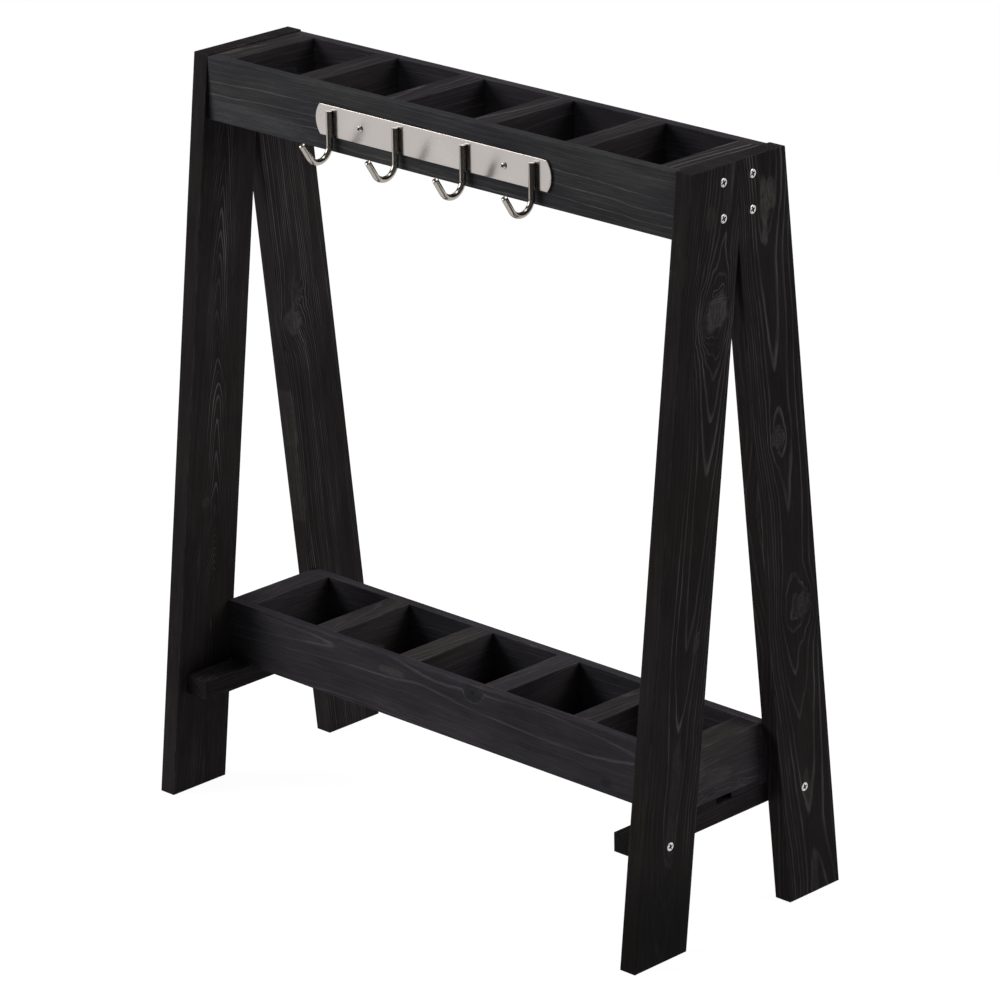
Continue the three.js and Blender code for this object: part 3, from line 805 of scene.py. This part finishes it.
# the left batten is painted lighter for the light on its side, and the front ends darker, partly with the
# stain that end grain takes and partly painted shade
battenGrain = {
    "batten_left": {
        "seed": 81, "spacing": 2.6, "sway": 0.8, "pith": [(-136, -30, 40), (136, -36, 46)],
        "knots": [(-112, 2, 5, 1.3, 5, -0.4)], "paintedLightAndStainAlong": [(-137, 3, 0.65)], "toneAndPaintedLight": 1.35},
    "batten_right": {
        "seed": 82, "spacing": 2.6, "sway": 0.8, "pith": [(-136, -40, 40), (136, -30, 44)],
        "paintedLightAndStainAlong": [(-137, 3, 0.75)], "toneAndPaintedLight": 0.95},
}
for node, grain in battenGrain.items():
    makeBoard(node, 1, "legs", grain)
print("cross pieces made")

# steel
# Stainless sheet with a fine lengthwise brushing: a grey shine drawn out up and down the plate.
# Stainless rod, polished: sharp bright and dark bands. Zinc-plated screws: bright and nearly white.
steelLook = {  # scratches: how fine they are along x, y and z, in cycles per metre
    "plate": {"name": "brushed_stainless_sheet", "colour": "#B5AFAC", "roughness": 0.24, "brush": 0.25,
              "drawnOut": 0.75, "scratches": (60, 2500, 2500)},
    "rod": {"name": "polished_stainless_rod", "colour": "#ABA49D", "roughness": 0.19, "brush": 0.06,
            "drawnOut": 0.0, "scratches": (900, 900, 200)},
    "screw": {"name": "zinc_plated_screw", "colour": "#CFCFCD", "roughness": 0.26, "brush": 0.08,
              "drawnOut": 0.0, "scratches": (800, 800, 800)},
}
steelWear = {
    "turn": 0.25,  # of the drawn-out shine: a quarter of a circle
    "smudge": (0.85, 1.2), "smudges": (24, 24, 24),  # factors on the roughness, cycles per metre
    "scratchDark": 0.93, "scratchDepth": 0.00002,
    # the colour of the painted shade in the screws' recesses, and of the hooks' darker cut ends
    "paintedDark": "#3B3938",
}


def brushedSteel(look):
    material, tree, shader = newMaterial(look["name"])
    where = addNode(tree, "TexCoord").outputs["Object"]
    scratch = noise(tree, where, look["scratches"], 5.0, 0.7)
    smudge = noise(tree, where, steelWear["smudges"], 4.0)
    full = toLinear(look["colour"])
    dark = tuple(c * steelWear["scratchDark"] for c in full[:3]) + (1.0,)
    relief = addNode(tree, "Bump", {
        "Height": scratch, "Distance": steelWear["scratchDepth"], "Strength": look["brush"]}).outputs[0]
    # painted shade sits in the recesses of the screws, and the hooks' cut ends take the same dark colour
    colour = mix(tree, scratch, dark, full)
    paintedDarkShare = addNode(tree, "Attribute", attribute_name="paintedDarkShare").outputs["Fac"]
    colour = mix(tree, paintedDarkShare, colour, toLinear(steelWear["paintedDark"]))
    fill(tree, shader, {
        "Base Color": colour, "Metallic": 1.0, "Normal": relief,
        "Roughness": spread(tree, smudge, 0.3, 0.7, *(look["roughness"] * f for f in steelWear["smudge"])),
        "Anisotropic": look["drawnOut"], "Anisotropic Rotation": steelWear["turn"]})
    return material


steel = {kind: brushedSteel(look) for kind, look in steelLook.items()}

plateMake = {
    "length": 349.0, "height": 34.5, "endRise": 6.5, "edge": 0.5,
    "arcPoints": 31, "longPoints": 121, "edgePoints": 5, "faceLoops": 7,
}


def makePlate():
    # the outline has straight long edges and a shallow arc at each end; its loops go from the middle
    # line of the front face, round a small edge radius, to the middle line of the back face
    low, high = (np.array(corner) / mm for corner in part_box("hook_plate"))
    middle = (low + high) / 2
    halfHeight, halfThick = plateMake["height"] / 2, (high[1] - low[1]) / 2
    radius = (halfHeight ** 2 + plateMake["endRise"] ** 2) / (2 * plateMake["endRise"])
    centre = plateMake["length"] / 2 - radius
    reach = math.asin(halfHeight / radius)
    corner = centre + radius * math.cos(reach)
    arc = np.linspace(-reach, reach, plateMake["arcPoints"])
    straight = np.linspace(corner, -corner, plateMake["longPoints"])[1:-1]
    right = np.stack([centre + radius * np.cos(arc), radius * np.sin(arc)], axis=1)
    upper = np.stack([straight, np.full(len(straight), halfHeight)], axis=1)
    outline = np.concatenate([right, upper, -right, -upper])
    ahead = np.roll(outline, -1, axis=0) - np.roll(outline, 1, axis=0)
    out = np.stack([ahead[:, 1], -ahead[:, 0]], axis=1)
    out /= np.linalg.norm(out, axis=1)[:, None]
    edge = plateMake["edge"]
    inner = outline - out * edge
    spine = np.stack([np.clip(outline[:, 0], -corner, corner), np.zeros(len(outline))], axis=1)
    inwards = np.linspace(0, 1, plateMake["faceLoops"])[:-1]
    turn = np.radians(np.linspace(0, 90, plateMake["edgePoints"]))
    front = [(spine * (1 - t) + inner * t, -halfThick) for t in inwards]
    front += [(inner + out * edge * np.sin(a), -halfThick + edge * (1 - np.cos(a))) for a in turn]
    loops = front + [(flat, -depth) for flat, depth in front[::-1]]
    points = middle + np.stack([np.insert(flat, 1, depth, axis=1) for flat, depth in loops])
    piece = linkPiece("steel_plate", meshFromLoops("steel_plate", points * mm))
    standIn(piece, "hook_plate", steel["plate"])


hookMake = {
    "rod": 7.0, "stem": 36.5, "bend": 16.5, "tip": 20.5, "tipAngle": 57.0,
    "chamfer": 0.15, "dome": 1.4, "cutDull": 0.6,
    "facets": 32, "stemPoints": 14, "bendPoints": 40, "tipPoints": 9, "domePoints": 9,
}


def makeHook(node):
    # a round section carried down the stem, round the bend and up to the tip; the stem's end is cut
    # flat and the tip's end is slightly domed
    make = hookMake
    low, high = (np.array(corner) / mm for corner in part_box(node))
    top = np.array([(low[0] + high[0]) / 2, high[1] - make["rod"] / 2, high[2]])
    bend, tipAngle = make["bend"], math.radians(make["tipAngle"])
    sweep = np.linspace(0, math.pi / 2 + tipAngle, make["bendPoints"])
    stem = np.linspace(0, make["stem"], make["stemPoints"])
    tip = np.linspace(0, make["tip"], make["tipPoints"])[1:]
    y = np.concatenate([np.zeros(len(stem)), bend * (np.cos(sweep[1:]) - 1)])
    z = np.concatenate([-stem, -make["stem"] - bend * np.sin(sweep[1:])])
    path = np.stack([np.append(y, y[-1] - tip * math.cos(tipAngle)),
                     np.append(z, z[-1] + tip * math.sin(tipAngle))], axis=1)
    lean = np.concatenate([np.zeros(len(stem)), sweep[1:], np.full(len(tip), sweep[-1])])
    heading = np.stack([-np.sin(lean), -np.cos(lean)], axis=1)
    radius, chamfer = make["rod"] / 2, make["chamfer"]
    dome = np.radians(np.linspace(0, 90, make["domePoints"]))
    firstSizes = [0, radius * 0.5, radius - chamfer, radius - chamfer * 0.3]
    firstShift = [0, 0, 0, chamfer * 0.3]
    firstRows = [path[0] + heading[0] * s for s in firstShift]
    lastRows = [path[-1] + heading[-1] * (np.sin(a) - 1) * make["dome"] for a in dome]
    sizes = np.concatenate([firstSizes, np.full(len(path) - 1, radius), radius * np.cos(dome)])
    path[0] += heading[0] * chamfer
    path = np.concatenate([firstRows, path[:-1], lastRows])
    heading = np.concatenate([[heading[0]] * len(firstRows), heading[:-1], [heading[-1]] * len(lastRows)])
    angle = np.linspace(0, 2 * np.pi, make["facets"], endpoint=False)
    side = np.stack([heading[:, 1], -heading[:, 0]], axis=1)
    loops = np.zeros((len(path), len(angle), 3))
    loops[..., 0] = top[0] + sizes[:, None] * np.cos(angle)
    loops[..., 1] = top[1] + path[:, :1] + sizes[:, None] * np.sin(angle) * side[:, :1]
    loops[..., 2] = top[2] + path[:, 1:] + sizes[:, None] * np.sin(angle) * side[:, 1:]
    piece = linkPiece("rod_" + node, meshFromLoops(node, loops * mm))
    # the cut end is duller than the polished rod
    place = pointsOf(piece.data) / mm
    setAttribute(piece.data, "paintedDarkShare", "FLOAT", make["cutDull"] * (place[:, 2] > high[2] - 0.1))
    standIn(piece, node, steel["rod"])


makePlate()
for node in sorted(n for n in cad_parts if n.startswith("hook_") and n != "hook_plate"):
    makeHook(node)
print("hook rail made")

# screws
screwLook = {"facets": 48, "recess": 0.62, "recessDepth": 0.80, "turn": 20, "pull": 0.5}
panMake = {
    "head": 3.75, "height": 2.2, "shank": 1.75, "point": 2.6, "turn": 35, "pull": 0.4,
    # radius and depth in mm, from the recess's floor over its lip to the rim
    "dome": [(0, 2.0), (0.8, 2.0), (1.7, 1.8), (2.2, 0.5), (2.3, 0.14), (2.45, 0.18), (2.9, 0.5),
             (3.4, 1.05), (3.68, 1.6)],
    "lip": 2.25, "lipDepth": 0.3,
}


def makeScrew(node, profile, top, axis, side, look, paintedDark):
    # turned from a profile, whose loops 1 to 4 are the recess: four lobes pull their radius in to a cross.
    # the last argument says how much painted shade a place gets, from its distance to the screw's axis and
    # its depth
    loops = turnedLoops(profile, top, axis, side, screwLook["facets"])
    angle = np.linspace(0, 2 * np.pi, screwLook["facets"], endpoint=False)
    arms = 0.5 + 0.5 * np.cos(4 * (angle - math.radians(look["turn"])))
    pull = 1 - look["pull"] * (1 - smoothStep(0.25, 0.75, arms))
    across = othersThan(axis)
    for i in across:
        loops[1:5, :, i] = top[i] + (loops[1:5, :, i] - top[i]) * pull
    piece = linkPiece("fixing_" + node, meshFromLoops(node, loops * mm))
    place = pointsOf(piece.data) / mm - top
    setAttribute(piece.data, "paintedDarkShare", "FLOAT", paintedDark(np.hypot(*place[:, across].T), -side * place[:, axis]))
    standIn(piece, node, steel["screw"])


def makeCountersunk(node, kind, top, axis, side, length):
    # the recess and its rim, the flat head and its edge, the cone, the shank and its point
    make = screwMake[kind]
    head, shank = make["head"] / 2, make["shank"] / 2
    recess = head * screwLook["recess"]
    depth = make["headHeight"] * screwLook["recessDepth"]
    profile = [(0, depth), (recess * 0.30, depth), (recess * 0.62, depth * 0.9), (recess * 0.94, 0.5),
               (recess, 0.0), (recess * 1.12, 0.0), (head - 1.0, 0.0), (head - 0.5, 0.14), (head, 0.5),
               (head, 0.7), (shank + 0.15, make["headHeight"] - 0.1), (shank, make["headHeight"] + 0.3),
               (shank, length - make["shank"] * 0.8), (shank * 0.5, length - 1.2), (0, length)]
    makeScrew(node, profile, top, axis, side, screwLook, lambda out, down: np.clip(down / 0.4, 0, 1))


def makePanHead(node):
    low, high = (np.array(corner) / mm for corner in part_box(node))
    top = np.array([(low[0] + high[0]) / 2, low[1], (low[2] + high[2]) / 2])
    head, height, shank, length = panMake["head"], panMake["height"], panMake["shank"], high[1] - low[1]
    profile = panMake["dome"] + [(head, height - 0.1), (head - 0.1, height), (shank, height),
                                 (shank, length - panMake["point"]), (0, length)]
    makeScrew(node, profile, top, 1, -1, panMake, lambda out, down: (
        (out < panMake["lip"]) * np.clip((down - panMake["lipDepth"]) / 0.5, 0, 1)))


for node, kind, top, axis, side, length in screwPlaces():
    makeCountersunk(node, kind, top, axis, side, length)
for node in ("plate_screw_left", "plate_screw_right"):
    makePanHead(node)
print("screws made")

# floor, lamps, world
studio = {
    "floor": "#DCDCDB", "floorHalf": 60,
    "whiteShare": 0.85,  # how much of the floor's look is plain white; the rest keeps the shadow
    "white": 1.13,  # the strength of the plain white
    "world": 0.10,  # a dark room, which the rods and screws mirror
    "flag": {"radius": 1.6, "height": 0.80, "from": -28, "to": 122,  # degrees from -Y towards +X
             "stations": 49, "weave": 40.0, "black": (0.02, 0.05)},
    "lamps": [  # name, place, aim, size in metres, watts
        ("key", (-2.6, -2.3, 2.3), (0, 0, 0.4), 2.0, 97),
        ("top", (-0.3, 0.5, 3.6), (0, 0, 0.4), 2.2, 52),
        ("right", (5.4, 2.8, 2.6), (0, 0, 0.4), 3.0, 168),
    ],
}


def makeFloor():
    mesh = bpy.data.meshes.new("floor")
    far = studio["floorHalf"]
    mesh.from_pydata([(-far, -far, 0), (far, -far, 0), (far, far, 0), (-far, far, 0)], [], [(0, 1, 2, 3)])
    floor = linkPiece("floor", mesh)
    material, tree, shader = newMaterial("white_studio_floor")
    fill(tree, shader, {
        "Base Color": toLinear(studio["floor"]), "Roughness": 0.95, "Specular IOR Level": 0.1})
    # 1 for what the camera sees directly, in a mirror or through glass
    path = addNode(tree, "LightPath").outputs
    first = maths(tree, "ADD", path["Is Camera Ray"], path["Is Glossy Ray"])
    seen = addNode(tree, "Math", {0: first, 1: path["Is Transmission Ray"]},
                   operation="ADD", use_clamp=True).outputs[0]
    share = times(tree, seen, studio["whiteShare"])
    white = addNode(tree, "Emission", {"Color": (1, 1, 1, 1), "Strength": studio["white"]})
    mixed = addNode(tree, "MixShader", {0: share, 1: shader.outputs[0], 2: white.outputs[0]})
    tree.links.new(mixed.outputs[0], tree.nodes["Material Output"].inputs["Surface"])
    mesh.materials.append(material)


def makeFlag():
    # a black cloth round the front right of the rack, seen only in the steel: it darkens the rods
    look = studio["flag"]
    angle = np.radians(np.linspace(look["from"], look["to"], look["stations"]))
    flat = np.stack([np.sin(angle), -np.cos(angle)], axis=1) * look["radius"]
    low = np.column_stack([flat, np.full(len(flat), 0.001)])
    high = np.column_stack([flat, np.full(len(flat), look["height"])])
    count = len(flat)
    quads = [(i, i + 1, count + i + 1, count + i) for i in range(count - 1)]
    mesh = bpy.data.meshes.new("flag")
    mesh.from_pydata(np.concatenate([low, high]).tolist(), [], quads)
    flag = linkPiece("flag", mesh)
    cloth, tree, shader = newMaterial("black_flag_cloth")
    weave = addNode(tree, "TexNoise", {"Scale": look["weave"]}).outputs["Fac"]
    fill(tree, shader, {"Base Color": spread(tree, weave, 0, 1, *look["black"])})
    mesh.materials.append(cloth)
    for ray in ("camera", "diffuse", "shadow", "transmission"):
        setattr(flag, "visible_" + ray, False)


def makeWorld():
    world = bpy.data.worlds.new("studio")
    world.use_nodes = True
    tree = world.node_tree
    fill(tree, tree.nodes["Background"], {"Color": (1, 1, 1, 1), "Strength": studio["world"]})
    bpy.context.scene.world = world


def makeLamps():
    for name, place, aim, size, watts in studio["lamps"]:
        lamp = bpy.data.lights.new(name, "AREA")
        lamp.size = size
        lamp.energy = watts
        holder = linkPiece(name, lamp)
        holder.location = place
        holder.rotation_euler = (Vector(aim) - Vector(place)).to_track_quat("-Z", "Y").to_euler()


makeFloor()
makeFlag()
makeWorld()
makeLamps()
bpy.context.scene.view_settings.view_transform = "Standard"
print("studio set")
